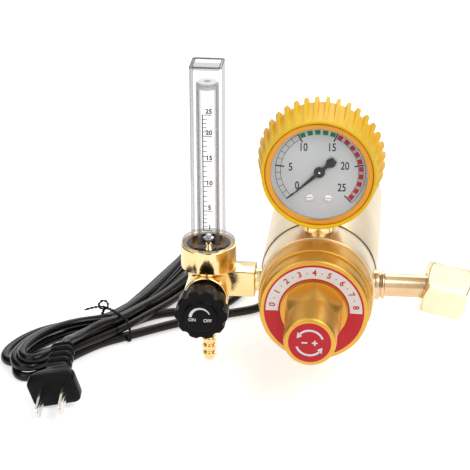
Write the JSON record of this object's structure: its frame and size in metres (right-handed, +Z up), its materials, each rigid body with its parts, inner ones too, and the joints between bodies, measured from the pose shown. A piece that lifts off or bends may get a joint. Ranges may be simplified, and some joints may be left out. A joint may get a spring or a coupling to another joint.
{
  "type": "heated carbon dioxide regulator",
  "caption": "Gas bottle pressure regulator with an electric heater barrel, dial gauge, square tube flowmeter with needle valve and hose barb, and mains lead with plug.",
  "frame": {"origin": "middle of the union nut's mouth, where the bottle valve's thread enters", "axes": "+X towards the bottle side, +Y from the front cap to the back of the heater barrel, +Z up along the flowmeter tube"},
  "size_m": [0.2641, 0.2711, 0.1773],
  "materials": {
    "gold_lacquer": "lacquered, satin",
    "brushed_gold": "brushed",
    "bright_brass": "polished",
    "label_print": "printed",
    "yellow_rubber": "moulded",
    "gold_trim": "gloss",
    "clear_window": "clear",
    "dial_white": "matt print",
    "pointer_black": "satin",
    "clear_plastic": "clear",
    "black_plastic": "moulded",
    "black_rubber": "matt",
    "steel": "bright",
    "core_aluminium": "machined",
    "white_fibre": "felted",
    "white_plastic": "moulded"
  },
  "bodies": {
    "root": {"bonnet": "gold_lacquer", "regulator_body": "brushed_gold", "heater_barrel": "brushed_gold", "barrel_end_cap": "brushed_gold", "gauge_stem": "bright_brass", "inlet_nipple": "bright_brass", "outlet_nipple": "bright_brass", "flowmeter_base": "bright_brass", "gland_nut": "bright_brass", "hose_barb": "bright_brass", "seat_nozzle": "bright_brass", "float_seat": "bright_brass", "gauge_movement": "bright_brass", "bourdon_tube": "bright_brass", "bonnet_label": "label_print", "gauge_boot": "yellow_rubber", "gauge_bezel": "gold_trim", "gauge_window": "clear_window", "gauge_dial": "dial_white", "outer_tube": "clear_plastic", "inner_tube": "clear_plastic", "thermostat": "black_plastic", "cable_gland": "black_rubber", "body_seal": "black_rubber", "stem_seal": "black_rubber", "tube_seal": "black_rubber", "inlet_washer": "black_rubber", "diaphragm": "black_rubber", "plug_body": "black_rubber", "cord_lead": "black_rubber", "cord_hank": "black_rubber", "cord_tail": "black_rubber", "cord_tie": "black_rubber", "dial_screws": "steel", "slip_washer": "steel", "main_spring": "steel", "poppet_spring": "steel", "gauge_case": "steel", "plug_blades": "steel", "inlet_filter": "steel", "heater_element": "steel", "heater_core": "core_aluminium", "insulation_sleeve": "white_fibre", "float_stop": "white_plastic"},
    "union_nut": {"union_nut": "bright_brass"},
    "front_cap": {"front_cap": "gold_lacquer", "cap_label": "label_print"},
    "spring_button": {"spring_button": "bright_brass"},
    "adjusting_screw": {"adjusting_screw": "bright_brass"},
    "valve_train": {"diaphragm_plate": "bright_brass", "push_pin": "steel", "poppet": "steel"},
    "valve_stem": {"valve_stem": "steel"},
    "flow_knob": {"flow_knob": "black_plastic", "knob_cap": "black_plastic", "knob_screw": "steel"},
    "gauge_pointer": {"gauge_pointer": "pointer_black"},
    "float": {"float": "core_aluminium"}
  },
  "joints": [
    {"name": "union_nut_spin", "type": "hinge", "parent": "root", "child": "union_nut", "pos_m": [-0.02053, 0, 0.00444], "axis": [0.9774, 0, -0.2113], "continuous": true},
    {"name": "front_cap_turn", "type": "hinge", "parent": "root", "child": "front_cap", "pos_m": [-0.08153, -0.03655, 0.00444], "axis": [0, -1, 0], "range_deg": [0, 1440]},
    {"name": "spring_button_slide", "type": "slide", "parent": "root", "child": "spring_button", "axis": [0, -1, 0], "range_m": [0, 0.006]},
    {"name": "adjusting_screw_turn", "type": "hinge", "parent": "spring_button", "child": "adjusting_screw", "pos_m": [-0.08153, -0.05655, 0.00444], "axis": [0, -1, 0], "range_deg": [0, 1440], "deforming": ["main_spring"]},
    {"name": "valve_train_slide", "type": "slide", "parent": "root", "child": "valve_train", "axis": [0, 1, 0], "range_m": [0, 0.0008], "stiffness_N_per_m": 3000, "deforming": ["main_spring", "diaphragm", "poppet_spring"]},
    {"name": "valve_stem_slide", "type": "slide", "parent": "root", "child": "valve_stem", "axis": [0, -1, 0], "range_m": [0, 0.003]},
    {"name": "flow_knob_turn", "type": "hinge", "parent": "valve_stem", "child": "flow_knob", "pos_m": [-0.14243, -0.03655, -0.00036], "axis": [0, -1, 0], "range_deg": [0, 1080]},
    {"name": "gauge_pointer_turn", "type": "hinge", "parent": "root", "child": "gauge_pointer", "pos_m": [-0.08153, -0.00655, 0.07244], "axis": [0, 1, 0], "range_deg": [0, 270], "stiffness_Nm_per_rad": 0.0003},
    {"name": "float_slide", "type": "slide", "parent": "root", "child": "float", "axis": [0, 0, 1], "range_m": [0, 0.084]}
  ],
  "couplings": [
    {"joint": "adjusting_screw_turn", "follows": "spring_button_slide", "rad_per_m": 4188.8},
    {"joint": "flow_knob_turn", "follows": "valve_stem_slide", "rad_per_m": 6283.2}
  ]
}
